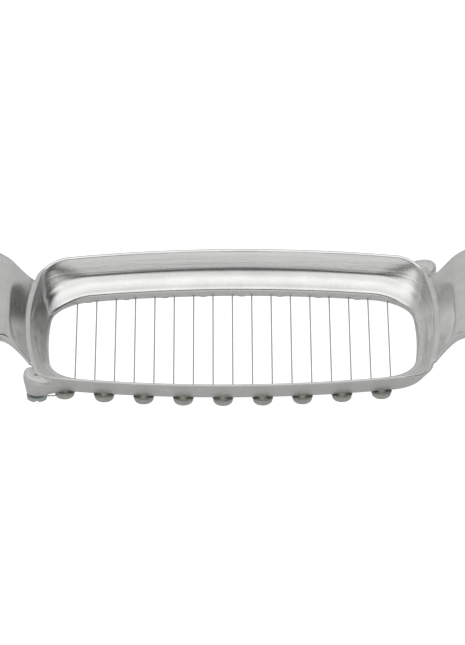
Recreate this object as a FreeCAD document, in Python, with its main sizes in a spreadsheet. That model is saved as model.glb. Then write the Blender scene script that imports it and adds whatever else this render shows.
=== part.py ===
"""Hand-held wire slicer for eggs: a cast frame with two wing handles, and one wire laced over pins.

+X runs along the length and +Z is up. The origin is on the surface that the slicer stands on,
below its middle. The heights in the sheet are measured from the bottom of the frame's lip, which
stands stand_off above that surface. The slicer looks the same after half a turn about Z.
"""
import FreeCAD
import Part

import math
import os

V = FreeCAD.Vector
UP = V(0, 0, 1)
# how finely the rounded rim and the curved wing plate are worked out
RIM_STEPS = 3
SCOOP_STEPS, WING_STEPS, ACROSS_STEPS = 20, 16, 6
SLOPE_STEP = 0.01
# how far a tool that cuts reaches past the piece that it cuts
CLEAR, FAR_CLEAR = 1.0, 20.0

DIMENSIONS = {
    # the dish: ovals one above the other, with a lip around its opening
    "stand_off": 1.3,
    "rim_half_length": 53.3, "rim_half_width": 38.6, "rim_height": 7.55, "rim_corner": 14.0,
    "rim_width": 1.9, "rim_roundness": 0.8,
    "shelf_half_length": 49.9, "shelf_half_width": 33.7, "shelf_height": 3.9, "shelf_corner": 11.0,
    "shelf_rounding": 2.5,
    "opening_half_length": 47.0, "opening_half_width": 26.4, "opening_height": 2.0,
    "opening_corner": 8.5,
    "base_half_length": 49.6, "base_half_width": 31.5, "base_height": 0.6, "base_corner": 12.0,
    "lip_width": 1.3, "lip_overlap": 0.3, "side_bow": 220.0, "end_bow": 150.0,
    # the wing handles
    "wing_thickness": 1.8, "wing_rounding": 0.6, "wing_tip": 95.0, "wing_root_inset": 2.3,
    "neck_place": 56.2, "neck_half_width": 23.3, "neck_radius": 7.0, "neck_turn_degrees": 40.0,
    "flare_degrees": 25.0,
    "wing_side_radius": 31.0, "wing_corner_radius": 18.0,
    "neck_height": 6.5, "scoop_start": 51.6, "scoop_depth": 1.8, "scoop_slope": 1.4,
    "scoop_flattest": -0.5, "scoop_softness": 1.0, "wing_softness": 0.8,
    "plate_start": 47.0, "plate_half_width": 32.0, "scoop_step": 0.75, "rounding_inset": 2.5,
    "wing_height": 13.9, "wing_height_place": 59.4, "wing_rise": 0.3, "wing_arch": 0.002,
    # the pins that carry the wire, and the pads that they stand on
    "pin_pitch": 10.0, "pin_count": 9, "first_pin": -42.5, "pin_row": 30.6,
    "pin_head_radius": 2.5, "pin_neck_radius": 2.35, "pin_shank_radius": 1.25,
    "pin_head_top": 0.05, "pin_shank_top": 2.35, "pin_tip_rounding": 1.1,
    "pad_radius": 2.5, "pad_top": 2.4,
    # the wire, and the slots that it runs through in the lip
    "wire_radius": 0.175, "wire_height": 0.3, "wire_gap": 0.005,
    "slot_width": 0.7, "slot_length": 6.0, "slot_top": 0.55, "slot_inset": 1.5,
    # the clamp at each end of the wire: a lug, a washer and a screw
    "clamp_x": 49.5, "clamp_y": 27.6, "lug_foot_radius": 2.75, "lug_foot_height": 0.48,
    "lug_top_x": 48.2, "lug_top_y": 31.0, "lug_top_radius": 4.8, "lug_top_height": 6.7,
    "lug_bevel": 0.8, "clamp_hole_radius": 1.5, "clamp_hole_top": 5.4,
    "pilot_hole_radius": 0.3,
    "washer_radius": 2.65, "washer_thickness": 0.4, "washer_bore": 1.55,
    "head_radius": 2.55, "head_thickness": 0.82, "head_rounding": 0.2, "screw_radius": 1.45,
    "screw_length": 4.9, "screw_overlap": 0.3, "screw_wire_gap": 0.05,
    "drive_width": 0.8, "drive_depth": 0.4,
}

doc = FreeCAD.newDocument("egg_slicer")
sheet = doc.addObject("Spreadsheet::Sheet", "dim")
for row, (alias, value) in enumerate(DIMENSIONS.items(), start=1):
    sheet.set(f"A{row}", alias)
    sheet.set(f"B{row}", str(value))
    sheet.setAlias(f"B{row}", alias)
doc.recompute()


def dim(alias):
    """A driving dimension, read from the sheet."""
    return float(sheet.get(alias))


# ---------------------------------------------------------------- features of the document

def shaped(name, shape):
    """A feature that holds a free-form shape worked out from the sheet."""
    item = doc.addObject("Part::Feature", name)
    item.Shape = shape
    return item


def bound(kind, name, x="0", y="0", z="0", **sizes):
    """A primitive whose sizes and place are expressions of the sheet."""
    item = doc.addObject(kind, name)
    for key, expression in sizes.items():
        item.setExpression(key, expression)
    for key, expression in (("x", x), ("y", y), ("z", z)):
        item.setExpression("Placement.Base." + key, expression)
    return item


def cylinder(name, radius, foot, top, x="0", y="0"):
    """An upright cylinder between two heights above the lip's bottom."""
    return bound("Part::Cylinder", name, x, y, f"dim.stand_off + {foot}",
                 Radius=radius, Height=f"({top}) - ({foot})")


def fused(name, items):
    item = doc.addObject("Part::MultiFuse", name)
    item.Shapes = items
    return item


def cut(name, base, tool):
    item = doc.addObject("Part::Cut", name)
    item.Base, item.Tool = base, tool
    return item


def half_turned(name, item):
    """A copy of item, half a turn round Z."""
    copy = doc.addObject("Part::Compound", name)
    copy.Links = [item]
    copy.Placement = FreeCAD.Placement(V(0, 0, 0), FreeCAD.Rotation(UP, 180))
    return copy


def loft(name, sections, ruled=True):
    item = doc.addObject("Part::Loft", name)
    item.Sections, item.Solid, item.Ruled = sections, True, ruled
    return item


def rounded(name, base, radius, chosen):
    """Round the edges of base that chosen(edge) picks."""
    doc.recompute()
    item = doc.addObject("Part::Fillet", name)
    item.Base = base
    item.Edges = [(number, radius, radius)
                  for number, edge in enumerate(base.Shape.Edges, start=1) if chosen(edge)]
    return item


def at_height(height):
    """Picks the edges that lie level, this far above the lip's bottom."""
    level = dim("stand_off") + height
    return lambda edge: abs(edge.BoundBox.ZMin - level) + abs(edge.BoundBox.ZMax - level) < 0.01


# ---------------------------------------------------------------- outlines

def circles_meeting(first, first_radius, second, second_radius):
    """Where two circles in a level plane cross, in the first quadrant's direction."""
    between = second - first
    along = (between.Length ** 2 + first_radius ** 2 - second_radius ** 2) / (2 * between.Length)
    unit = between.normalize()
    across = math.sqrt(first_radius ** 2 - along ** 2)
    meetings = [first + unit * along + V(-unit.y, unit.x, 0) * side * across for side in (-1, 1)]
    return max(meetings, key=lambda point: point.x + point.y)


def oval(length, width, corner, height):
    """A closed oval of eight tangent arcs, whose sides and ends bow outwards a little."""
    side_bow, end_bow = dim("side_bow"), dim("end_bow")
    level = dim("stand_off") + height
    side_middle, end_middle = V(0, width - side_bow, 0), V(length - end_bow, 0, 0)
    middle = circles_meeting(side_middle, side_bow - corner, end_middle, end_bow - corner)
    on_side = middle + (middle - side_middle).normalize() * corner
    on_end = middle + (middle - end_middle).normalize() * corner
    diagonal = middle + V(1, 1, 0).normalize() * corner

    def place(point, flip_x, flip_y):
        return V(point.x * flip_x, point.y * flip_y, level)

    edges = []
    for flip_x, flip_y in ((1, 1), (-1, 1), (-1, -1), (1, -1)):
        end, side = place(on_end, flip_x, flip_y), place(on_side, flip_x, flip_y)
        corner_arc = (end, place(diagonal, flip_x, flip_y), side)
        if flip_x == flip_y:
            edges.append(Part.Arc(*corner_arc))
            edges.append(Part.Arc(side, V(0, width * flip_y, level), place(on_side, -flip_x, flip_y)))
        else:
            edges.append(Part.Arc(*reversed(corner_arc)))
            edges.append(Part.Arc(end, V(length * flip_x, 0, level), place(on_end, flip_x, -flip_y)))
    return Part.Wire([edge.toShape() for edge in edges])


def named_oval(name, kind, height, grow=0.0):
    """One of the dish's ovals at a height, grown outwards by a distance."""
    shape = oval(dim(kind + "_half_length") + grow, dim(kind + "_half_width") + grow,
                 dim(kind + "_corner") + grow, height)
    return shaped(name, shape)


def prism(name, wire_item, height):
    item = doc.addObject("Part::Extrusion", name)
    item.Base, item.Dir, item.Solid = wire_item, UP, True
    item.DirMode = "Custom"
    item.LengthFwd = height
    return item


def wing_outline():
    """The right wing seen from above, from inside the dish's rim to the tip."""
    flare, neck_turn = math.radians(dim("flare_degrees")), math.radians(dim("neck_turn_degrees"))
    neck_middle = V(dim("neck_place"), dim("neck_half_width") + dim("neck_radius"), 0)
    neck = [neck_middle + V(math.sin(angle), -math.cos(angle), 0) * dim("neck_radius")
            for angle in (-neck_turn, 0.0, flare)]
    side_radius, corner_radius = dim("wing_side_radius"), dim("wing_corner_radius")
    side_middle = neck[2] + V(math.sin(flare), -math.cos(flare), 0) * side_radius
    widest = side_middle + V(0, side_radius, 0)
    half_flare = V(-math.sin(flare / 2), math.cos(flare / 2), 0)
    corner_middle = widest - V(0, corner_radius, 0)
    back = corner_middle.x - dim("wing_tip")
    tip_radius = ((corner_radius ** 2 - corner_middle.y ** 2 - back ** 2)
                  / (2 * (back + corner_radius)))
    tip_middle = V(dim("wing_tip") - tip_radius, 0, 0)
    towards = (corner_middle - tip_middle).normalize()
    on_tip = tip_middle + towards * tip_radius
    between = (towards + V(0, 1, 0)).normalize()
    upper = [(neck[0], neck[1], neck[2]),
             (neck[2], side_middle + half_flare * side_radius, widest),
             (widest, corner_middle + between * corner_radius, on_tip)]
    mirrored = [tuple(V(point.x, -point.y, 0) for point in arc) for arc in upper]
    inner = neck[0] - V(FAR_CLEAR, 0, 0)
    edges = [Part.Arc(*arc) for arc in upper + mirrored]
    edges.append(Part.Arc(on_tip, V(dim("wing_tip"), 0, 0), V(on_tip.x, -on_tip.y, 0)))
    edges.append(Part.LineSegment(neck[0], inner))
    edges.append(Part.LineSegment(inner, V(inner.x, -inner.y, 0)))
    edges.append(Part.LineSegment(V(inner.x, -inner.y, 0), V(neck[0].x, -neck[0].y, 0)))
    return Part.Wire(Part.__sortEdges__([edge.toShape() for edge in edges]))


# ---------------------------------------------------------------- the frame

def softly(smaller, first, second, softness):
    """The smaller or larger of two values, with the change between them rounded off."""
    sign = -1 if smaller else 1
    return 0.5 * (first + second + sign * math.hypot(first - second, softness))


def wing_top(x, y):
    """Height of the wing's upper face: level at the neck, a steep scoop, then a gentle slope."""
    beyond = x - dim("wing_height_place")
    wing = dim("wing_height") + dim("wing_rise") * beyond - dim("wing_arch") * beyond ** 2
    bulge = 1 - (y / dim("neck_half_width")) ** 2
    bend = dim("scoop_start") + dim("scoop_depth") * max(bulge, dim("scoop_flattest"))
    scoop = dim("neck_height") + softly(False, dim("scoop_slope") * (x - bend), 0.0, dim("scoop_softness"))
    return dim("stand_off") + softly(True, wing, scoop, dim("wing_softness"))


def wing_ribbon():
    """A curved plate, wider than the wing, whose upper face is wing_top."""
    places = [dim("plate_start") + dim("scoop_step") * step for step in range(SCOOP_STEPS)]
    rest = dim("wing_tip") + CLEAR - places[-1]
    places += [places[-1] + rest * step / WING_STEPS for step in range(1, WING_STEPS + 1)]
    rows = [dim("plate_half_width") * step / ACROSS_STEPS
            for step in range(-ACROSS_STEPS, ACROSS_STEPS + 1)]
    top, bottom = [], []
    for x in places:
        top.append([V(x, y, wing_top(x, y)) for y in rows])
        under = []
        for y in rows:
            rise_x = wing_top(x + SLOPE_STEP, y) - wing_top(x - SLOPE_STEP, y)
            rise_y = wing_top(x, y + SLOPE_STEP) - wing_top(x, y - SLOPE_STEP)
            slope = V(rise_x, rise_y, -2 * SLOPE_STEP)
            under.append(V(x, y, wing_top(x, y)) + slope.normalize() * dim("wing_thickness"))
        bottom.append(under)
    faces = []
    for grid in (top, bottom):
        surface = Part.BSplineSurface()
        surface.interpolate(grid)
        faces.append(surface.toShape())
    upper, lower = faces
    for first in upper.Edges:
        second = min(lower.Edges, key=lambda edge: (edge.CenterOfMass - first.CenterOfMass).Length)
        faces.append(Part.makeRuledSurface(first, second))
    shell = Part.makeShell(faces)
    shell.sewShape()
    solid = Part.makeSolid(shell)
    if solid.Volume < 0:
        solid.reverse()
    return solid


def build_wing(side):
    ribbon = shaped(side + "_wing_plate", wing_ribbon())
    outline = shaped(side + "_wing_outline", wing_outline())
    blank = doc.addObject("Part::MultiCommon", side + "_wing_blank")
    blank.Shapes = [ribbon, prism(side + "_wing_prism", outline, 2 * FAR_CLEAR)]
    hollow = named_oval(side + "_wing_root", "rim", 0, -dim("wing_root_inset"))
    trimmed = cut(side + "_wing_trimmed", blank, prism(side + "_wing_root_prism", hollow, 2 * FAR_CLEAR))
    beyond_neck = dim("neck_place") - dim("rounding_inset")

    def along_side(edge):
        box = edge.BoundBox
        upright = box.ZLength > 0.9 * edge.Length
        return box.XMax > beyond_neck and not upright

    return rounded(side + "_wing_rounded", trimmed, dim("wing_rounding"), along_side)


def build_lug():
    """The slanted lug at the right far corner, which widens upwards and ends in a bevel."""
    bevel = dim("lug_bevel")
    rings = [("foot", "clamp_x", "clamp_y", dim("lug_foot_radius"), dim("lug_foot_height")),
             ("shoulder", "lug_top_x", "lug_top_y", dim("lug_top_radius"),
              dim("lug_top_height") - bevel),
             ("crown", "lug_top_x", "lug_top_y", dim("lug_top_radius") - bevel,
              dim("lug_top_height"))]
    sections = []
    for name, x, y, radius, height in rings:
        middle = V(dim(x), dim(y), dim("stand_off") + height)
        sections.append(shaped("lug_" + name, Part.Wire(Part.makeCircle(radius, middle))))
    return loft("right_lug", sections)


def build_dish():
    """The bowed ring with its lugs: a sloping wall outside, a shelf and a wall inside."""
    half_width, roundness = dim("rim_width") / 2, dim("rim_roundness")
    outer_sections = [named_oval("base_oval", "base", dim("base_height"))]
    inner_sections = [named_oval("shelf_oval", "shelf", dim("shelf_height"))]
    # the rim is rounded in steps, from both sides up to the same crest
    for step in range(RIM_STEPS + 1):
        angle = math.pi / 2 * step / RIM_STEPS
        inset = half_width * (1 - math.cos(angle))
        height = dim("rim_height") - roundness * (1 - math.sin(angle))
        outer_sections.append(named_oval(f"rim_outer_{step}", "rim", height, -inset))
        inner_sections.append(
            named_oval(f"rim_inner_{step}", "rim", height, inset - 2 * half_width))
    outside = loft("dish_outside", outer_sections)
    upper = loft("dish_upper_hollow", inner_sections)
    lower = loft("dish_lower_hollow", [
        named_oval("opening_oval", "opening", dim("opening_height")),
        named_oval("shelf_oval_again", "shelf", dim("shelf_height"))])
    opening = prism("opening_prism", named_oval("opening_foot", "opening", -CLEAR), FAR_CLEAR)
    lug = build_lug()
    blank = fused("dish_blank", [outside, lug, half_turned("left_lug", lug)])
    ring = cut("dish_ring", blank, fused("dish_hollow", [upper, lower, opening]))
    return rounded("dish_shelf_rounded", ring, dim("shelf_rounding"), at_height(dim("shelf_height")))


def build_lip():
    tall = dim("base_height") + dim("lip_overlap")
    outer = prism("lip_outer", named_oval("lip_outer_oval", "opening", 0, dim("lip_width")), tall)
    inner = prism("lip_inner", named_oval("lip_inner_oval", "opening", -CLEAR), tall + 2 * CLEAR)
    return cut("lip", outer, inner)


def row_height(x):
    """Distance of a pin row from the middle at a place along it, as an expression."""
    return f"dim.pin_row - dim.side_bow + sqrt(dim.side_bow ^ 2 - ({x}) ^ 2)"


def pin_places():
    """Name and place of each pin, as expressions: the far row is the near row, half a turn on."""
    for row_name, side in (("near", -1), ("far", 1)):
        for number in range(int(dim("pin_count"))):
            along = f"dim.first_pin + {number} * dim.pin_pitch"
            x = along if side < 0 else along + " + dim.pin_pitch / 2"
            yield f"{row_name}_pin_{number + 1}", x, f"{side} * ({row_height(x)})"


def build_frame():
    """The one casting: dish, lip, wings, lugs and pads, with its slots and holes."""
    wing = build_wing("right")
    pads, shanks = [], []
    for name, x, y in pin_places():
        pads.append(cylinder(name + "_pad", "dim.pad_radius", "dim.base_height", "dim.pad_top", x, y))
        shanks.append(cylinder(name + "_hole", "dim.pin_shank_radius", f"dim.base_height - {CLEAR}",
                               "dim.pin_shank_top", x, y))
    slots = []
    for number in range(2 * int(dim("pin_count")) - 1):
        for side in (-1, 1):
            slots.append(bound(
                "Part::Box", f"slot_{number + 1}_{'far' if side > 0 else 'near'}",
                x=f"dim.first_pin + {number + 0.5} * dim.pin_pitch / 2 - dim.slot_width / 2",
                y=f"{side} * (dim.opening_half_width - dim.slot_inset) - dim.slot_length / 2",
                z=f"dim.stand_off - {CLEAR}", Length="dim.slot_width", Width="dim.slot_length",
                Height=f"dim.slot_top + {CLEAR}"))
    hole = cylinder("clamp_hole", "dim.clamp_hole_radius", f"-{CLEAR}", "dim.clamp_hole_top",
                    "dim.clamp_x", "dim.clamp_y")
    pilot = cylinder("pilot_hole", "dim.pilot_hole_radius", f"-{CLEAR}",
                     f"dim.lug_top_height + {CLEAR}", "dim.clamp_x", "dim.clamp_y")
    holes = [hole, pilot, half_turned("clamp_hole_left", hole), half_turned("pilot_left", pilot)]
    solid = fused("frame_solid",
                  [build_dish(), build_lip(), wing, half_turned("left_wing", wing)] + pads)
    return cut("frame_cut", solid, fused("frame_cuts", slots + shanks + holes))


# ---------------------------------------------------------------- pins, clamps and wire

def build_pin(name, x, y):
    """A turned pin: a shank pressed into the frame, a narrow neck for the wire, a domed head."""
    shank = cylinder(name + "_shank", "dim.pin_shank_radius", "dim.pin_head_top",
                     "dim.pin_shank_top", x, y)
    neck = cylinder(name + "_neck", "dim.pin_neck_radius", "dim.pin_head_top", "dim.base_height", x, y)
    head = cylinder(name + "_head", "dim.pin_head_radius", "-dim.stand_off", "dim.pin_head_top", x, y)
    domed = rounded(name + "_dome", head, dim("pin_tip_rounding"), at_height(-dim("stand_off")))
    return fused(name, [shank, neck, domed])


def build_washer(name, side):
    """A flat washer that presses the end of the wire against the lug's foot."""
    top = "dim.wire_height - dim.wire_radius - dim.wire_gap"
    foot = f"{top} - dim.washer_thickness"
    place = (f"{side} * dim.clamp_x", f"{side} * dim.clamp_y")
    disc = cylinder(name + "_disc", "dim.washer_radius", foot, top, *place)
    bore = cylinder(name + "_bore", "dim.washer_bore", f"{foot} - {CLEAR}", f"{top} + {CLEAR}", *place)
    return cut(name, disc, bore)


def build_screw(name, side):
    """A slotted cheese-head screw, driven from below into the lug's tapped hole."""
    top = "dim.wire_height - dim.wire_radius - dim.wire_gap - dim.washer_thickness"
    foot = f"{top} - dim.head_thickness"
    place = (f"{side} * dim.clamp_x", f"{side} * dim.clamp_y")
    head = cylinder(name + "_head", "dim.head_radius", foot, top, *place)
    doc.recompute()
    low = dim("wire_height") - dim("wire_radius") - dim("wire_gap") - dim("washer_thickness")
    rim = rounded(name + "_head_rounded", head, dim("head_rounding"),
                  at_height(low - dim("head_thickness")))
    shank = cylinder(name + "_shank", "dim.screw_radius", top + " - dim.screw_overlap",
                     top + " + dim.screw_length", *place)
    drive = bound("Part::Box", name + "_drive",
                  x=place[0] + " - dim.drive_width / 2", y=place[1] + " - 2 * dim.head_radius",
                  z=f"dim.stand_off + {foot} - {CLEAR}", Length="dim.drive_width",
                  Width="4 * dim.head_radius", Height=f"dim.drive_depth + {CLEAR}")
    return cut(name, fused(name + "_blank", [rim, shank]), drive)


def wire_rounds():
    """What the wire goes round, in order: (middle, radius, 1 for anticlockwise or -1)."""
    level = dim("stand_off") + dim("wire_height")
    gap = dim("wire_radius") + dim("wire_gap")
    on_pin = dim("pin_neck_radius") + gap
    on_screw = dim("screw_radius") + gap + dim("screw_wire_gap")
    bow, row = dim("side_bow"), dim("pin_row")
    rounds = [(V(-dim("clamp_x"), -dim("clamp_y"), level), on_screw, 1)]
    for number in range(2 * int(dim("pin_count"))):
        side = 1 if number % 2 else -1
        x = dim("first_pin") + number * dim("pin_pitch") / 2
        y = side * (row - bow + math.sqrt(bow ** 2 - x ** 2))
        rounds.append((V(x, y, level), on_pin, -side))
    rounds.append((V(dim("clamp_x"), dim("clamp_y"), level), on_screw, -1))
    return rounds


def tangent(first, second):
    """The straight run of wire between two rounds: where it leaves one and meets the other."""
    (middle, radius, turn), (next_middle, next_radius, next_turn) = first, second
    between = next_middle - middle
    # a wire that turns anticlockwise has the middle of its round on its left
    offset = next_turn * next_radius - turn * radius
    heading = math.atan2(between.y, between.x) + math.asin(offset / between.Length)
    right = V(math.sin(heading), -math.cos(heading), 0)
    return middle + right * turn * radius, next_middle + right * next_turn * next_radius


def wire_bend(around, start, end):
    """The wire's arc round one pin or screw, as a piece of a torus."""
    middle, radius, turn = around
    angles = [math.degrees(math.atan2(point.y - middle.y, point.x - middle.x))
              for point in (start, end)]
    sweep = (turn * (angles[1] - angles[0])) % 360
    first = angles[0] if turn > 0 else angles[1]
    bend = Part.makeTorus(radius, dim("wire_radius"), V(0, 0, 0), UP, 0, 360, sweep)
    bend.rotate(V(0, 0, 0), UP, first)
    bend.translate(middle)
    return bend


def build_wire():
    """The one wire, as its 17 straight strands and, apart, its bends and its two ends."""
    rounds = wire_rounds()
    runs = [tangent(first, second) for first, second in zip(rounds, rounds[1:])]
    straight = [Part.makeCylinder(dim("wire_radius"), (end - start).Length, start, end - start)
                for start, end in runs]
    bends = [wire_bend(around, arriving[1], leaving[0])
             for around, arriving, leaving in zip(rounds[1:-1], runs, runs[1:])]
    for around, point in ((rounds[0], runs[0][0]), (rounds[-1], runs[-1][1])):
        middle = around[0]
        opposite = middle + (middle - point)
        side = 1 if middle.x > 0 else -1
        bends.append(wire_bend(around, point, opposite) if side > 0
                     else wire_bend(around, opposite, point))
    length = sum((end - start).Length for start, end in runs)
    print(f"straight wire {length:.0f} mm in {len(runs)} runs, {len(bends)} bends")
    return straight, bends


# ---------------------------------------------------------------- the whole slicer

nodes = {"frame": build_frame()}
for pin_name, pin_x, pin_y in pin_places():
    nodes[pin_name] = build_pin(pin_name, pin_x, pin_y)
for end_name, end_side in (("left", -1), ("right", 1)):
    nodes[end_name + "_clamp_washer"] = build_washer(end_name + "_clamp_washer", end_side)
    nodes[end_name + "_clamp_screw"] = build_screw(end_name + "_clamp_screw", end_side)
straight, bends = build_wire()
nodes["wire_strands"] = shaped("wire_strands", Part.makeCompound(straight[1:-1]))
nodes["wire_bends"] = shaped("wire_bends", Part.makeCompound(bends + [straight[0], straight[-1]]))
doc.recompute()

for item in doc.Objects:
    if {"Invalid", "Error"} & set(item.State):
        raise RuntimeError(f"{item.Name} is {item.State}")
os.makedirs("parts", exist_ok=True)
for label, item in nodes.items():
    item.Label = label
    shape = item.Shape
    if shape.isNull() or not shape.isValid():
        raise RuntimeError(f"{label} has no valid shape")
    shape.exportStep(f"parts/{label}.step")
    box = shape.optimalBoundingBox(False)
    print(f"{label:22s} {len(shape.Solids):3d} solids {shape.Volume:10.2f} mm3 "
          f"x {box.XMin:7.2f} {box.XMax:7.2f} y {box.YMin:7.2f} {box.YMax:7.2f} "
          f"z {box.ZMin:6.2f} {box.ZMax:6.2f}")
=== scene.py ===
"""The egg slicer's looks: its casting, wire and materials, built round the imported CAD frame."""

import math

import bmesh
import bpy
import numpy as np
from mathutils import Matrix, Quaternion, Vector


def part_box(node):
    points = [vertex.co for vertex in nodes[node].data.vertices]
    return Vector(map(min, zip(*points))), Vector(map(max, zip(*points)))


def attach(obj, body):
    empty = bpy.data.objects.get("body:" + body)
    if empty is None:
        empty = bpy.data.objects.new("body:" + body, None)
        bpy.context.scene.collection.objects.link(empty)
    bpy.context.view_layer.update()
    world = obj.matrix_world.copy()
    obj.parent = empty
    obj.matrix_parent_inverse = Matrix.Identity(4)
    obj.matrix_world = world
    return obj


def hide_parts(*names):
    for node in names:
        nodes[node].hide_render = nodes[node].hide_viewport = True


MM = 0.001

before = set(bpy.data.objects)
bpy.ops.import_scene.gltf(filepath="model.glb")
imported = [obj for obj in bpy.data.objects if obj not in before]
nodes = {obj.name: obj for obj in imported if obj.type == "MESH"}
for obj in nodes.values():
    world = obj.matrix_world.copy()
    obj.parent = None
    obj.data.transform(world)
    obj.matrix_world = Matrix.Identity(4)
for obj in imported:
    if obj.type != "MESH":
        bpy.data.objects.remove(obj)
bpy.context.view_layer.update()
scene = bpy.context.scene

# ---------------------------------------------------------------- sizes, in millimetres

# Heights below are measured from the bottom of the casting's lip, which is above the floor.
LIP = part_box("frame")[0].z / MM

# The dish is a stack of ovals: half length, half width and corner radius of each.
SIDE_BOW, END_BOW = 220.0, 150.0
RIM_OUTSIDE_CAD = 0.35
OPENING = (47.0, 26.4, 12.5)
SHELF = (49.9, 33.7, 15.5)
RIM = (53.3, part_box("frame")[1].y / MM + RIM_OUTSIDE_CAD, 10.4)
BASE = (49.6, 31.5, 9.6)
OPENING_Z, SHELF_Z, RIM_Z, BASE_Z = 2.0, 3.9, 7.85, 0.6
LIP_WIDTH = 1.3

# The dish drops at its four corners, over this stretch of the rim's length.
CORNER_RUN = (43.0, 51.0)
CORNER_RIM_DROP, CORNER_SHELF_DROP, CORNER_EDGE_DROP = 1.0, 0.6, 0.8
# Its shelf widens and climbs towards the middle of each end, over this stretch of the rim's width.
END_RUN = (4.0, 33.0)
END_SHELF_WIDER, END_SHELF_CLIMB = 0.9, 2.1

# Points of the dish's section. BEVEL is that of the lip's bottom edges, and the middles are shares.
BEVEL, BEVEL_TOP, LIP_MIDDLE, WALL_MIDDLE = 0.15, 0.18, 0.48, 0.55
EDGE_BEVEL, EDGE_ROLL_OUT, EDGE_ROLL_DOWN, EDGE_RUN = 0.3, 0.14, 0.1, 0.7
# how far the flange sags below a straight line, at shares of its width
FLANGE_SAG = ((0.35, 0.26), (0.7, 0.18))
FILLET_START, FILLET_MIDDLE, FILLET_END = 1.5, 0.4, 1.3
# the rim's crest, from the wall's top to the outer edge: inset, more inset at the corners, drop
CREST = ((1.8, -0.08, 0.75), (1.64, 0.04, 0.3), (1.25, 0.15, 0.15), (0.8, 0.35, 0.0), (0.2, 0.45, 0.18))
# heights of the outer wall's points: below the rim where the wings join it, and at the middle of a side
ROOT_DROPS = (0.55, 1.25)
WALL_HEIGHTS = (5.5, 4.6, 3.3, 2.2, 1.3, 0.8)
UNDERSIDE_BEVEL, UNDERSIDE_SHARE = 0.3, 0.55

NECK_HEIGHT, WING_HEIGHT, WING_HEIGHT_X = 6.65, 15.0, 59.4
WING_RISE, WING_ARCH = 0.27, 0.002
WING_THICKNESS, ROOT_THINNER_BY = 1.8, 0.5
SCOOP_START, SCOOP_DEPTH, SCOOP_END, SCOOP_CLIMB, SCOOP_HOLLOW = 51.0, 1.2, 56.9, 7.6, 0.35
LEAST_BULGE = -0.3
# softness of the fold between scoop and blade, and how much softer it gets over a stretch of |y|
UPPER_FOLD, LOWER_FOLD, FOLD_FADE, FOLD_FADE_RUN = 0.3, 1.2, 1.3, (12.0, 24.0)
NECK_X, NECK_HALF, NECK_RADIUS, NECK_TURN = 55.9, 21.8, 6.4, 60.0
FLARE, WING_SIDE, WING_CORNER, CORNER_SPLIT = 25.0, 31.0, 18.0, 48.0
WING_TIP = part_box("frame")[1].x / MM
# spacing of the wing's rings near the root and beyond it
ROOT_STEP, ROOT_RUN, WING_STEP, TIP_STEP, TIP_GAP = 0.55, 9.0, 2.1, 0.6, 1.0
ROOT_PULL = 12
EDGE_OUT, EDGE_DOWN = 0.22, 0.28

LUG_TOP, LUG_TOP_RADIUS, LUG_TOP_Z = (48.4, 30.3), 4.6, 6.7
LUG_FOOT, LUG_FOOT_RADIUS, LUG_FOOT_Z = (49.5, 27.6), 2.6, 0.48
LUG_BEVEL_DOWN, LUG_BEVEL_IN = 0.8, 1.1
LUG_FACING, LUG_FOOT_TURN, LUG_REACH, LUG_WRAP = 40.0, 11.0, 27.0, 104.0
LUG_LEAN, LUG_TILT, LUG_FADE = (1.7, -0.8), 0.22, (0.85, 1.3)
LUG_HEIGHTS = (LUG_TOP_Z + 0.05, LUG_TOP_Z - 0.1, LUG_TOP_Z - 0.55, 4.8, 3.2, 1.8, 0.95, LUG_FOOT_Z)
LUG_TOP_SHARE, LUG_UNDER_SHARE = 0.25, 0.35

# what is cut out of the casting
STRANDS, STRAND_GAP = 17, 5.0
SLOT, SLOT_Y, SLOT_MIDDLE_Z = (0.44, 6.0, 1.5), 24.9, -0.25
CLAMP_HOLE_RADIUS, CLAMP_HOLE_FOOT, CLAMP_HOLE_TOP = 1.5, -1.0, 5.4
PILOT, PILOT_RADIUS, PILOT_FOOT, PILOT_TOP = (-49.4, -30.2), 0.42, 5.0, 12.0


# ---------------------------------------------------------------- small helpers

def smooth_step(low, high, value):
    share = np.clip((value - low) / (high - low), 0, 1)
    return share * share * (3 - 2 * share)


def soft_minimum(first, second, softness):
    return 0.5 * (first + second - np.hypot(first - second, softness))


def turned(angles):
    """Unit vectors at angles."""
    return np.stack([np.cos(angles), np.sin(angles)], axis=-1)


def corner_middle(length, width, corner):
    """Centre of the corner's arc of an oval, in the first quadrant."""
    side, end = np.array([0, width - SIDE_BOW]), np.array([length - END_BOW, 0])
    between = end - side
    gap = np.hypot(*between)
    first, second = SIDE_BOW - corner, END_BOW - corner
    along = (gap ** 2 + first ** 2 - second ** 2) / (2 * gap)
    across = math.sqrt(first ** 2 - along ** 2)
    unit = between / gap
    square = np.array([-unit[1], unit[0]])
    return max((side + unit * along + square * across * way for way in (-1, 1)), key=sum)


# how many columns of points each arc of an oval has
END_CELLS, CORNER_CELLS, SIDE_CELLS = 19, 28, 32
COLUMNS = 4 * (END_CELLS + CORNER_CELLS + SIDE_CELLS)
NECK_REACH = END_CELLS - 2
LAST_TUMBLED_LIP_ROW = 3


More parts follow.
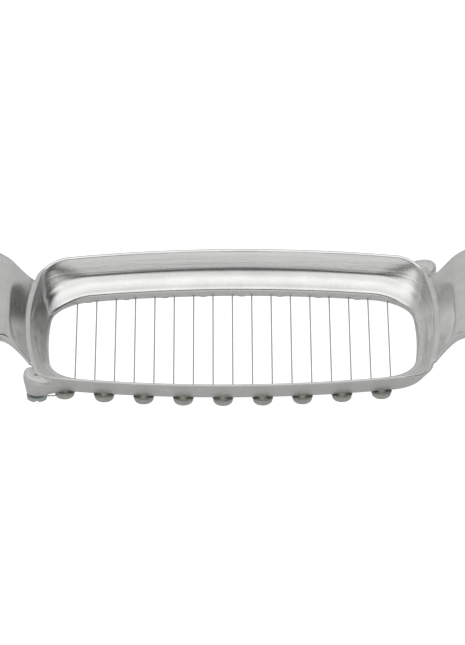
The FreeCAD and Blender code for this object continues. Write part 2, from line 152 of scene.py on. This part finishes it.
def oval(size):
    """An oval of tangent arcs: points in even steps along each arc, and the outward normals there."""
    length, width, corner = size
    middle = corner_middle(length, width, corner)
    end = math.asin(middle[1] / (END_BOW - corner))
    side = math.pi / 2 - math.asin(middle[0] / (SIDE_BOW - corner))
    quarter = np.concatenate([np.linspace(0, end, END_CELLS, endpoint=False),
                              np.linspace(end, side, CORNER_CELLS, endpoint=False),
                              np.linspace(side, math.pi / 2, SIDE_CELLS, endpoint=False)])
    mirrored = math.pi - np.concatenate([quarter[1:], [math.pi / 2]])[::-1]
    half = np.concatenate([quarter, mirrored])
    normal = turned(np.concatenate([half, half + math.pi]))
    folded = np.abs(normal)
    on_side = folded[:, :1] < middle[0] / (SIDE_BOW - corner)
    on_end = folded[:, 1:] < middle[1] / (END_BOW - corner)
    points = np.where(on_side, np.array([0, width - SIDE_BOW]) + SIDE_BOW * folded,
                      np.where(on_end, np.array([length - END_BOW, 0]) + END_BOW * folded,
                               middle + corner * folded))
    return points * np.where(normal < 0, -1, 1), normal


def level(points, height):
    """Plan points as 3-D points at a height or heights."""
    return np.column_stack([points, np.broadcast_to(height, len(points))])


# ---------------------------------------------------------------- the casting

def wall_point(rim, base, rim_z, height):
    """Outer wall of the dish at a height, between the base's edge and the rim's outer edge."""
    share = (height - BASE_Z) / (rim_z - BASE_Z)
    return base + (rim - base) * np.reshape(share, (-1, 1))


def lug_bound(share, height, side):
    """Outline of a lug at a height. share runs from -1 to 1 round it."""
    bevel_z = LUG_TOP_Z - LUG_BEVEL_DOWN
    up = np.clip((height - LUG_FOOT_Z) / (bevel_z - LUG_FOOT_Z), 0, 1)
    middle = np.array(LUG_FOOT) * (1 - up) + np.array(LUG_TOP) * up
    radius = LUG_FOOT_RADIUS * (1 - up) + LUG_TOP_RADIUS * up
    radius -= LUG_BEVEL_IN * smooth_step(bevel_z, LUG_TOP_Z, height)
    angle = np.radians(LUG_FACING - LUG_FOOT_TURN * (1 - up) + share * LUG_WRAP)
    # the lug leans over to meet the wing's neck
    lean = up * np.clip(-share, 0, 1) ** 3
    return (middle + radius * turned(angle) + lean * np.array(LUG_LEAN)) * side


def dish_rows():
    """The dish's section, from the bottom of the lip up the inside, over the rim and down outside.

    Also gives the rows that are brushed, the last row of the crest and the row under the wings.
    """
    (opening, off_opening), (shelf, off_shelf) = oval(OPENING), oval(SHELF)
    (rim, off_rim), (base, off_base) = oval(RIM), oval(BASE)
    at_corner = smooth_step(*CORNER_RUN, np.abs(rim[:, 0]))
    at_end = 1 - smooth_step(*END_RUN, np.abs(rim[:, 1]))
    rim_z = RIM_Z - CORNER_RIM_DROP * at_corner
    edge_z = OPENING_Z - CORNER_EDGE_DROP * at_corner
    shelf_z = SHELF_Z - CORNER_SHELF_DROP * at_corner + END_SHELF_CLIMB * at_end
    shelf = shelf + off_shelf * at_end[:, None] * END_SHELF_WIDER

    crest = [level(rim - off_rim * (inset + more * at_corner)[:, None], rim_z - drop)
             for inset, more, drop in CREST]
    edge, corner = level(opening, edge_z), level(shelf, shelf_z)
    slope, climb = corner - edge, crest[0] - corner
    slope /= np.linalg.norm(slope, axis=1)[:, None]
    climb /= np.linalg.norm(climb, axis=1)[:, None]

    lip = [
        level(opening + off_opening * BEVEL, 0.0),
        level(opening, BEVEL_TOP),
        level(opening, edge_z * LIP_MIDDLE),
        level(opening, edge_z - EDGE_BEVEL),
    ]
    flange = [
        edge + level(off_opening * EDGE_ROLL_OUT, -EDGE_ROLL_DOWN),
        edge + slope * EDGE_RUN,
        *(edge + (corner - edge) * share - [0, 0, sag] for share, sag in FLANGE_SAG),
        corner - slope * FILLET_START,
        corner + (climb - slope) * FILLET_MIDDLE,
    ]
    wall = [
        corner + climb * FILLET_END,
        corner + (crest[0] - corner) * WALL_MIDDLE,
    ]
    rows = lip + flange + wall + crest
    wall_row, crest_row = len(lip + flange), len(lip + flange + wall)
    brushed = range(wall_row, crest_row + 2)
    top_row = len(rows) - 1

    for drop in ROOT_DROPS:
        rows.append(level(wall_point(rim, base, rim_z, rim_z - drop), rim_z - drop))
    under_row = len(rows)
    for height in WALL_HEIGHTS:
        z = rim_z - (RIM_Z - height) * (rim_z - BASE_Z) / (RIM_Z - BASE_Z)
        rows.append(level(wall_point(rim, base, rim_z, z), z))
    outer_lip = opening + off_opening * LIP_WIDTH
    rows += [
        level(base - off_base * UNDERSIDE_BEVEL, BASE_Z),
        level(base * (1 - UNDERSIDE_SHARE) + outer_lip * UNDERSIDE_SHARE, BASE_Z),
        level(outer_lip + off_opening * BEVEL, BASE_Z),
        level(outer_lip, BASE_Z - BEVEL),
        level(outer_lip, BEVEL),
        level(outer_lip - off_opening * BEVEL, 0.0),
    ]
    rows = np.array(rows)
    add_lugs(rows, under_row - 1)
    return rows, brushed, top_row, under_row


def add_lugs(rows, first_row):
    """Pull the outer wall out into the lug at the right far and the left near corner."""
    foot_row = first_row + len(LUG_HEIGHTS)
    middle = corner_middle(*RIM)
    for side in (1, -1):
        around = oval(RIM)[0] * side - middle
        share = (np.degrees(np.arctan2(around[:, 1], around[:, 0])) - LUG_FACING) / LUG_REACH
        at_lug = (np.abs(share) < LUG_FADE[1]) & (around > 0).all(axis=1)
        for column in np.flatnonzero(at_lug):
            weight = 1 - smooth_step(*LUG_FADE, abs(share[column]))
            for step, height in enumerate(LUG_HEIGHTS):
                point = rows[first_row + step, column]
                bound = lug_bound(np.clip(share[column], -1, 1), height, side)
                if step == 0:
                    bound = point[:2] + LUG_TOP_SHARE * (bound - point[:2])
                tilt = LUG_TILT * (abs(bound[0]) - LUG_TOP[0]) * height / LUG_TOP_Z
                point += (np.array([*bound, height + tilt]) - point) * weight
            point = rows[foot_row, column]
            foot = np.array(LUG_FOOT) * side * LUG_UNDER_SHARE + point[:2] * (1 - LUG_UNDER_SHARE)
            point += (np.array([*foot, LUG_FOOT_Z]) - point) * weight


def wing_heights(x, y):
    """Height of the right wing's upper and lower face."""
    bulge = np.clip(1 - (y / NECK_HALF) ** 2, LEAST_BULGE, 1)
    beyond = x - WING_HEIGHT_X
    blade = WING_HEIGHT + WING_RISE * beyond - WING_ARCH * beyond ** 2
    start = SCOOP_START + SCOOP_DEPTH * bulge
    share = np.clip((x - start) / (SCOOP_END - start), 0, None)
    scoop = NECK_HEIGHT + SCOOP_CLIMB * share ** (1 + SCOOP_HOLLOW * bulge)
    thickness = WING_THICKNESS - ROOT_THINNER_BY * (1 - smooth_step(SCOOP_START, SCOOP_END, x))
    softer = FOLD_FADE * smooth_step(*FOLD_FADE_RUN, np.abs(y))
    upper = soft_minimum(blade, scoop, UPPER_FOLD + softer)
    return upper, soft_minimum(blade, scoop, LOWER_FOLD + softer) - thickness


def arc(middle, radius, start, end, count):
    angles = np.linspace(math.radians(start), math.radians(end), count)
    return np.array(middle) + radius * turned(angles)


def wing_outline():
    """Half of the right wing's outline, from the neck to the corner's middle and on to the tip."""
    flare = math.radians(FLARE)
    neck = arc((NECK_X, NECK_HALF + NECK_RADIUS), NECK_RADIUS, -90 - NECK_TURN, -90 + FLARE, 30)
    side_middle = neck[-1] + WING_SIDE * np.array([math.sin(flare), -math.cos(flare)])
    side = arc(side_middle, WING_SIDE, 90 + FLARE, 90, 40)
    corner_centre = side_middle + [0, WING_SIDE - WING_CORNER]
    back = corner_centre[0] - WING_TIP
    tip_radius = (WING_CORNER ** 2 - corner_centre[1] ** 2 - back ** 2) / (2 * (back + WING_CORNER))
    tip_middle = np.array([WING_TIP - tip_radius, 0])
    towards = corner_centre - tip_middle
    meeting = math.degrees(math.atan2(towards[1], towards[0]))
    to_split = arc(corner_centre, WING_CORNER, 90, CORNER_SPLIT, 30)
    past_split = arc(corner_centre, WING_CORNER, CORNER_SPLIT, meeting, 20)
    tip = arc(tip_middle, tip_radius, meeting, 0, 20)
    return np.concatenate([neck, side[1:], to_split[1:]]), np.concatenate([past_split, tip[1:]])


def along(points, shares):
    """Points at shares of a line's length."""
    run = np.concatenate([[0], np.cumsum(np.linalg.norm(np.diff(points, axis=0), axis=1))])
    return np.column_stack([np.interp(np.asarray(shares) * run[-1], run, points[:, axis])
                            for axis in range(points.shape[1])])


def wing_plan(root):
    """Plan of the wing's grid, rows from the root to the tip, between four curved sides."""
    side, past = wing_outline()
    # pull the outline's start to the root's end
    side = side + (root[-1] - side[0]) * (1 - np.linspace(0, 1, len(side)))[:, None] ** ROOT_PULL
    length = np.linalg.norm(np.diff(side, axis=0), axis=1).sum()
    steps = np.concatenate([np.arange(0, ROOT_RUN, ROOT_STEP),
                            np.arange(ROOT_RUN, length - TIP_GAP, WING_STEP),
                            [length - TIP_STEP, length]])
    shares = steps / length
    upper = along(side, shares)
    lower = upper * [1, -1]
    tip_half = along(past[::-1], np.linspace(0, 1, len(root) // 2 + 1))
    tip = np.concatenate([(tip_half * [1, -1])[::-1], tip_half[1:]])
    across = np.linspace(0, 1, len(root))[:, None]
    grid = []
    for share, top, bottom in zip(shares, upper, lower):
        line = (1 - share) * root + share * tip
        grid.append(line + (1 - across) * (bottom - line[0]) + across * (top - line[-1]))
    return np.array(grid)


def outward(line):
    """Unit normals of a plan line, on its left."""
    run = np.gradient(line, axis=0)
    run /= np.linalg.norm(run, axis=1)[:, None]
    return np.column_stack([-run[:, 1], run[:, 0]])


def join(faces, first, second, closed=False):
    """Faces between two lines of points, or between two loops."""
    count = len(first)
    for step in range(count if closed else count - 1):
        after = (step + 1) % count
        faces.append((first[step], first[after], second[after], second[step]))


def close_tip(points, faces, ring, line, side):
    """Close a wing's tip with two lines of points between the upper and the lower face."""
    across = len(line)
    top, bottom = ring[:across], ring[across + 2:2 * across + 2][::-1]
    push = outward(line[::-1])[::-1] * EDGE_OUT * side
    lines = [top]
    for edge, rise, left, right in ((top, -EDGE_DOWN, ring[-1], ring[across]),
                                    (bottom, EDGE_DOWN, ring[-2], ring[across + 1])):
        start = len(points)
        points.extend([points[edge[step]] + [*push[step], rise] for step in range(1, across - 1)])
        lines.append([left, *range(start, start + across - 2), right])
    lines.append(bottom)
    for first, second in zip(lines, lines[1:]):
        join(faces, first, second)


def add_wing(points, faces, root, wall_loop, side):
    """Add one wing: rings of points from the loop in the dish's wall out to the tip."""
    plan = wing_plan(root)
    loops = [wall_loop]
    up_facing, low_facing = outward(plan[:, -1]), -outward(plan[:, 0])
    for step in range(1, len(plan)):
        line = plan[step]
        upper, lower = wing_heights(line[:, 0], line[:, 1])
        top, bottom = np.column_stack([line, upper]), np.column_stack([line, lower])
        edges = []
        for end, facing in ((-1, up_facing[step]), (0, low_facing[step])):
            edges.append([top[end] + [*facing * EDGE_OUT, -EDGE_DOWN],
                          bottom[end] + [*facing * EDGE_OUT, EDGE_DOWN]])
        ring = [*top, *edges[0], *bottom[::-1], *reversed(edges[1])]
        loops.append(list(range(len(points), len(points) + len(ring))))
        points.extend(point * [side, side, 1] for point in ring)
    for first, second in zip(loops, loops[1:]):
        join(faces, first, second, closed=True)
    close_tip(points, faces, loops[-1], plan[-1], side)


def build_casting():
    rows, brushed, top_row, under_row = dish_rows()
    row_count = len(rows)
    points = list(rows.reshape(-1, 3))
    faces = []

    def at(row, column):
        return (row % row_count) * COLUMNS + column % COLUMNS

    necks = {side: range(middle - NECK_REACH, middle + NECK_REACH + 1)
             for side, middle in ((1, 0), (-1, COLUMNS // 2))}
    removed = {(row, column % COLUMNS) for row in range(top_row, under_row)
               for columns in necks.values() for column in columns[:-1]}
    for row in range(row_count):
        for column in range(COLUMNS):
            if (row, column) not in removed:
                faces.append((at(row, column), at(row, column + 1), at(row + 1, column + 1),
                              at(row + 1, column)))
    for side, columns in necks.items():
        root = np.array([rows[top_row, column % COLUMNS, :2] for column in columns]) * side
        wall_loop = ([at(top_row, column) for column in columns]
                     + [at(row, columns[-1]) for row in range(top_row + 1, under_row)]
                     + [at(under_row, column) for column in reversed(columns)]
                     + [at(row, columns[0]) for row in reversed(range(top_row + 1, under_row))])
        add_wing(points, faces, root, wall_loop, side)

    mesh = bpy.data.meshes.new("casting")
    scaled = (np.array(points) + [0, 0, LIP]) * MM
    mesh.from_pydata([tuple(point) for point in scaled], [], faces)
    mesh.update()
    row_of = np.arange(row_count * COLUMNS) // COLUMNS
    wings = np.zeros(len(points) - len(row_of))
    tumbled = (row_of <= LAST_TUMBLED_LIP_ROW) | (row_of > top_row)
    for zone, inside in (("brushed", np.isin(row_of, brushed)), ("tumbled", tumbled)):
        layer = mesh.attributes.new(zone, "FLOAT", "POINT")
        layer.data.foreach_set("value", np.concatenate([inside.astype(float), wings]))
    casting = bpy.data.objects.new("casting", mesh)
    scene.collection.objects.link(casting)
    face_outwards(casting)
    finer = casting.modifiers.new("finer", "SUBSURF")
    finer.levels = finer.render_levels = 1
    for face in mesh.polygons:
        face.use_smooth = True
    cut_holes(casting)
    return casting


def cut_holes(casting):
    """Cut the slots in the lip that the wire runs through, the clamps' holes and the pilot hole."""
    work = bmesh.new()
    for number in range(STRANDS):
        x = (number - (STRANDS - 1) / 2) * STRAND_GAP
        for side in (1, -1):
            slot = bmesh.ops.create_cube(work, size=1)["verts"]
            bmesh.ops.scale(work, verts=slot, vec=SLOT)
            bmesh.ops.translate(work, verts=slot, vec=(x, side * SLOT_Y, LIP + SLOT_MIDDLE_Z))
    clamp_hole = (CLAMP_HOLE_RADIUS, CLAMP_HOLE_FOOT, CLAMP_HOLE_TOP)
    for place, (radius, foot, top) in ((LUG_FOOT, clamp_hole),
                                       ((-LUG_FOOT[0], -LUG_FOOT[1]), clamp_hole),
                                       (PILOT, (PILOT_RADIUS, PILOT_FOOT, PILOT_TOP))):
        hole = bmesh.ops.create_cone(work, cap_ends=True, segments=24, radius1=radius, radius2=radius,
                                     depth=top - foot)["verts"]
        bmesh.ops.translate(work, verts=hole, vec=(*place, (top + foot) / 2 + LIP))
    bmesh.ops.scale(work, verts=work.verts, vec=(MM, MM, MM))
    mesh = bpy.data.meshes.new("holes")
    work.to_mesh(mesh)
    work.free()
    holes = bpy.data.objects.new("holes", mesh)
    scene.collection.objects.link(holes)
    holes.hide_render = holes.hide_viewport = True
    cut = casting.modifiers.new("holes", "BOOLEAN")
    cut.operation, cut.solver, cut.object = "DIFFERENCE", "EXACT", holes


def face_outwards(item):
    work = bmesh.new()
    work.from_mesh(item.data)
    bmesh.ops.recalc_face_normals(work, faces=work.faces)
    work.to_mesh(item.data)
    work.free()


# ---------------------------------------------------------------- the wire

WIRE_RADIUS, WIRE_Z = 0.175, 0.3
# radius of the wire's bends round a pin and round a screw
PIN_BEND, SCREW_BEND = 2.53, 1.68
BEND_STEP = math.radians(8)


def middle_of(name):
    low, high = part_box(name)
    return np.array([low.x + high.x, low.y + high.y]) / 2 / MM


def wire_runs(rounds):
    """Where the wire leaves each round and meets the next. A round is (middle, radius, 1 or -1)."""
    for (middle, radius, turn), (following, next_radius, next_turn) in zip(rounds, rounds[1:]):
        between = following - middle
        heading = (math.atan2(between[1], between[0])
                   + math.asin((next_turn * next_radius - turn * radius) / math.hypot(*between)))
        right = np.array([math.sin(heading), -math.cos(heading)])
        yield middle + right * turn * radius, following + right * next_turn * next_radius


def bend(around, start, end):
    """Points on the way round a pin or a screw."""
    middle, radius, turn = around
    first, last = (math.atan2(*(point - middle)[::-1]) for point in (start, end))
    sweep = (turn * (last - first)) % (2 * math.pi)
    steps = max(2, math.ceil(sweep / BEND_STEP))
    return middle + radius * turned(first + turn * np.linspace(0, sweep, steps + 1))


def build_wire():
    """The one wire: clamped at the left screw, laced round the pins, clamped at the right screw."""
    rounds = [(middle_of("left_clamp_screw"), SCREW_BEND, 1)]
    for number in range(1, sum(name.startswith("near_pin_") for name in nodes) + 1):
        rounds.append((middle_of(f"near_pin_{number}"), PIN_BEND, 1))
        rounds.append((middle_of(f"far_pin_{number}"), PIN_BEND, -1))
    rounds.append((middle_of("right_clamp_screw"), SCREW_BEND, -1))
    runs = list(wire_runs(rounds))
    first, last = runs[0][0], runs[-1][1]
    path = [bend(rounds[0], 2 * rounds[0][0] - first, first)]
    path += [bend(around, arriving[1], leaving[0])
             for around, arriving, leaving in zip(rounds[1:-1], runs, runs[1:])]
    path.append(bend(rounds[-1], last, 2 * rounds[-1][0] - last))
    path = level(np.concatenate(path), WIRE_Z + LIP) * MM
    curve = bpy.data.curves.new("wire", "CURVE")
    curve.dimensions = "3D"
    curve.bevel_depth, curve.bevel_resolution = WIRE_RADIUS * MM, 3
    curve.use_fill_caps = True
    line = curve.splines.new("POLY")
    line.points.add(len(path) - 1)
    for point, place in zip(line.points, path):
        point.co = (*place, 1)
    item = bpy.data.objects.new("wire", bpy.data.meshes.new_from_object(bpy.data.objects.new("line", curve)))
    scene.collection.objects.link(item)
    return item


# ---------------------------------------------------------------- materials

# roughness of the casting's zones, each from the noise's 0 to its 1, and relief in millimetres
BUFFED_ROUGHNESS, BRUSHED_ROUGHNESS, TUMBLED_ROUGHNESS = (0.12, 0.28), (0.12, 0.42), (0.3, 0.6)
BUFFED_RELIEF, BRUSHED_RELIEF, TUMBLED_RELIEF = 0.006, 0.085, 0.09
ALUMINIUM_TONES = ((0.78, 0.775, 0.765), (0.95, 0.945, 0.93))
BUFFING_SHARE = 0.35
SHADE_RANGE = (0.3, 0.7)


def math_node(tree, kind, *values):
    node = tree.nodes.new("ShaderNodeMath")
    node.operation = kind
    for socket, value in zip(node.inputs, values):
        if isinstance(value, (int, float)):
            socket.default_value = value
        else:
            tree.links.new(value, socket)
    return node.outputs[0]


def faded(tree, value, low, high):
    """0 below low and 1 above high, smooth between."""
    node = tree.nodes.new("ShaderNodeMapRange")
    node.interpolation_type = "SMOOTHSTEP"
    node.inputs["From Min"].default_value = low
    node.inputs["From Max"].default_value = high
    tree.links.new(value, node.inputs["Value"])
    return node.outputs["Result"]


def blended(tree, share, first, second):
    """A mix of two values: the first where share is 0, the second where it is 1."""
    node = tree.nodes.new("ShaderNodeMix")
    node.data_type = "FLOAT"
    for socket, value in zip((node.inputs[0], node.inputs[2], node.inputs[3]), (share, first, second)):
        if isinstance(value, (int, float)):
            socket.default_value = value
        else:
            tree.links.new(value, socket)
    return node.outputs[0]


def metal(name, colour, roughness):
    material = bpy.data.materials.new(name)
    material.use_nodes = True
    shader = material.node_tree.nodes["Principled BSDF"]
    shader.inputs["Base Color"].default_value = (*colour, 1)
    shader.inputs["Metallic"].default_value = 1.0
    shader.inputs["Roughness"].default_value = roughness
    return material


def grain(tree, stretch, detail=4.0, roughness=0.6):
    """Noise whose grains are finer the bigger the stretch along that axis, in grains per millimetre."""
    place = tree.nodes.new("ShaderNodeTexCoord").outputs["Object"]
    scaled = tree.nodes.new("ShaderNodeVectorMath")
    scaled.operation = "MULTIPLY"
    scaled.inputs[1].default_value = tuple(part / MM for part in stretch)
    tree.links.new(place, scaled.inputs[0])
    noise = tree.nodes.new("ShaderNodeTexNoise")
    noise.inputs["Scale"].default_value = 1.0
    noise.inputs["Detail"].default_value = detail
    noise.inputs["Roughness"].default_value = roughness
    tree.links.new(scaled.outputs[0], noise.inputs["Vector"])
    return noise.outputs["Fac"]


def bumped(tree, height, depth, before=None):
    bump = tree.nodes.new("ShaderNodeBump")
    bump.inputs["Distance"].default_value = depth * MM
    tree.links.new(height, bump.inputs["Height"])
    if before:
        tree.links.new(before, bump.inputs["Normal"])
    return bump.outputs["Normal"]


def shade(tree, value, dark, light):
    """A colour between two, for values across SHADE_RANGE."""
    share = tree.nodes.new("ShaderNodeMapRange")
    share.inputs["From Min"].default_value, share.inputs["From Max"].default_value = SHADE_RANGE
    tree.links.new(value, share.inputs["Value"])
    mix = tree.nodes.new("ShaderNodeMix")
    mix.data_type = "RGBA"
    mix.inputs[6].default_value, mix.inputs[7].default_value = (*dark, 1), (*light, 1)
    tree.links.new(share.outputs["Result"], mix.inputs[0])
    return mix.outputs[2]


def build_aluminium():
    """Buffed by hand on the wings and flange, brushed along the inner wall, tumbled outside."""
    material = metal("cast_aluminium", (0.87, 0.865, 0.855), 0.22)
    tree = material.node_tree
    shader = tree.nodes["Principled BSDF"]

    def zone(name):
        node = tree.nodes.new("ShaderNodeAttribute")
        node.attribute_name = name
        return node.outputs["Fac"]

    brushed, tumbled = zone("brushed"), zone("tumbled")
    streaks = grain(tree, (0.03, 0.03, 1.8), detail=7.0, roughness=0.7)
    speckle = grain(tree, (1.6, 1.6, 1.6), detail=5.0, roughness=0.75)
    clouds = grain(tree, (0.12, 0.2, 0.2), detail=3.0)
    buffing = grain(tree, (2.4, 0.12, 0.5), detail=5.0)

    rough = blended(tree, buffing, *BUFFED_ROUGHNESS)
    rough = blended(tree, brushed, rough, blended(tree, streaks, *BRUSHED_ROUGHNESS))
    rough = blended(tree, tumbled, rough, blended(tree, speckle, *TUMBLED_ROUGHNESS))
    tree.links.new(rough, shader.inputs["Roughness"])

    tone = blended(tree, BUFFING_SHARE, clouds, buffing)
    tone = blended(tree, brushed, tone, streaks)
    tone = blended(tree, tumbled, tone, speckle)
    tree.links.new(shade(tree, tone, *ALUMINIUM_TONES), shader.inputs["Base Color"])

    relief = math_node(tree, "MULTIPLY", streaks, brushed)
    pits = math_node(tree, "MULTIPLY", speckle, tumbled)
    normal = bumped(tree, buffing, BUFFED_RELIEF)
    normal = bumped(tree, relief, BRUSHED_RELIEF, normal)
    tree.links.new(bumped(tree, pits, TUMBLED_RELIEF, normal), shader.inputs["Normal"])
    return material


def build_steel(name, dark, light, roughness, relief):
    material = metal(name, light, roughness)
    tree = material.node_tree
    shader = tree.nodes["Principled BSDF"]
    speckle = grain(tree, (1.1, 1.1, 2.2), detail=5.0, roughness=0.7)
    tree.links.new(shade(tree, speckle, dark, light), shader.inputs["Base Color"])
    tree.links.new(bumped(tree, speckle, relief), shader.inputs["Normal"])
    return material


def assign(item, material):
    item.data.materials.clear()
    item.data.materials.append(material)


# ---------------------------------------------------------------- the studio

# brightness of the sky from the horizon behind (0) over the top (90) to the horizon in front (180)
SKY = [(0, 0.5), (28, 0.52), (42, 0.56), (52, 1.0), (60, 1.16), (68, 1.0), (77, 0.82),
       (81, 0.07), (90, 0.04), (97, 0.06), (102, 0.6), (122, 0.78), (180, 0.5)]
# brightness high up on the right and the left, and where each sets in along x
RIGHT_SKY, LEFT_SKY = 0.05, 0.26
RIGHT_EDGE, LEFT_EDGE, HIGH_EDGE = (0.38, 0.56), (0.45, 0.75), (0.25, 0.5)
# the light table: its paper, and its glow as the camera and as the object see it
FLOOR_REACH, PAPER, GLOW_TO_CAMERA, GLOW_TO_OBJECT = 6.0, 0.45, 1.0, 0.25


def build_sky():
    """Soft panels behind and in front, with a dark gap above and darker sides high up."""
    world = bpy.data.worlds.new("studio")
    world.use_nodes = True
    tree = world.node_tree
    direction = tree.nodes.new("ShaderNodeTexCoord").outputs["Generated"]
    split = tree.nodes.new("ShaderNodeSeparateXYZ")
    tree.links.new(direction, split.inputs[0])
    x, y, z = split.outputs
    over = math_node(tree, "DIVIDE", math_node(tree, "ARCTAN2", z, y), math.pi)
    ramp = tree.nodes.new("ShaderNodeValToRGB")
    tree.links.new(over, ramp.inputs[0])
    stops = ramp.color_ramp.elements
    while len(stops) < len(SKY):
        stops.new(0.5)
    brightest = max(value for _, value in SKY)
    for stop, (degrees, value) in zip(stops, SKY):
        stop.position = degrees / 180
        stop.color = (*[value / brightest] * 3, 1)
    sky = math_node(tree, "MULTIPLY", ramp.outputs[0], brightest)
    high = faded(tree, z, *HIGH_EDGE)
    right = math_node(tree, "MULTIPLY", faded(tree, x, *RIGHT_EDGE), high)
    leftwards = math_node(tree, "MULTIPLY", x, -1.0)
    left = math_node(tree, "MULTIPLY", faded(tree, leftwards, *LEFT_EDGE), high)
    sky = blended(tree, right, sky, RIGHT_SKY)
    sky = blended(tree, left, sky, LEFT_SKY)
    tree.links.new(sky, tree.nodes["Background"].inputs["Color"])
    scene.world = world


def glow(tree, strength, paper):
    """A sheet of paper that glows."""
    light = tree.nodes.new("ShaderNodeEmission")
    light.inputs["Strength"].default_value = strength
    both = tree.nodes.new("ShaderNodeAddShader")
    tree.links.new(paper, both.inputs[0])
    tree.links.new(light.outputs[0], both.inputs[1])
    return both.outputs[0]


def build_floor():
    """A light table: white to the camera, and a dim glow under the object."""
    corners = [(-1, -1), (1, -1), (1, 1), (-1, 1)]
    mesh = bpy.data.meshes.new("floor")
    mesh.from_pydata([(x * FLOOR_REACH, y * FLOOR_REACH, 0) for x, y in corners], [], [(0, 1, 2, 3)])
    floor = bpy.data.objects.new("floor", mesh)
    scene.collection.objects.link(floor)
    table = bpy.data.materials.new("light_table")
    table.use_nodes = True
    tree = table.node_tree
    tree.nodes.clear()
    paper = tree.nodes.new("ShaderNodeBsdfDiffuse")
    paper.inputs["Color"].default_value = (PAPER, PAPER, PAPER, 1)
    mixed = tree.nodes.new("ShaderNodeMixShader")
    path = tree.nodes.new("ShaderNodeLightPath")
    output = tree.nodes.new("ShaderNodeOutputMaterial")
    tree.links.new(path.outputs["Is Camera Ray"], mixed.inputs[0])
    tree.links.new(glow(tree, GLOW_TO_OBJECT, paper.outputs[0]), mixed.inputs[1])
    tree.links.new(glow(tree, GLOW_TO_CAMERA, paper.outputs[0]), mixed.inputs[2])
    tree.links.new(mixed.outputs[0], output.inputs["Surface"])
    mesh.materials.append(table)


CAMERA_ELEVATION, CAMERA_ROLL = math.radians(27), math.radians(-0.35)
CAMERA_DISTANCE, SENSOR = 2.0, 36.0
# height above the floor that the camera looks at, and height of the picture there, in millimetres
TARGET_HEIGHT, VIEW_HEIGHT = 7.2, 164.75


def build_camera():
    camera = bpy.data.objects.new("camera", bpy.data.cameras.new("camera"))
    scene.collection.objects.link(camera)
    back = Vector((0, -math.cos(CAMERA_ELEVATION), math.sin(CAMERA_ELEVATION)))
    camera.location = Vector((0, 0, TARGET_HEIGHT * MM)) + back * CAMERA_DISTANCE
    camera.rotation_mode = "QUATERNION"
    camera.rotation_quaternion = Quaternion(back, CAMERA_ROLL) @ (-back).to_track_quat("-Z", "Y")
    camera.data.sensor_width = SENSOR
    camera.data.lens = SENSOR * CAMERA_DISTANCE / (VIEW_HEIGHT * MM)
    camera.data.clip_start, camera.data.clip_end = 0.1, 20
    scene.camera = camera


scene.view_settings.view_transform = "Standard"
casting = build_casting()
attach(casting, "body")
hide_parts("frame")
assign(casting, build_aluminium())
wire = build_wire()
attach(wire, "body")
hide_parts("wire_strands", "wire_bends")
assign(wire, metal("wire_steel", (0.6, 0.6, 0.6), 0.3))
pin_metal = build_steel("pin_steel", (0.56, 0.57, 0.52), (0.8, 0.81, 0.75), 0.4, 0.05)
screw_metal = build_steel("screw_steel", (0.5, 0.56, 0.56), (0.72, 0.78, 0.78), 0.32, 0.03)
for name, item in nodes.items():
    if "_pin_" in name:
        assign(item, pin_metal)
    elif "_clamp_" in name:
        assign(item, screw_metal)
build_floor()
build_sky()
build_camera()
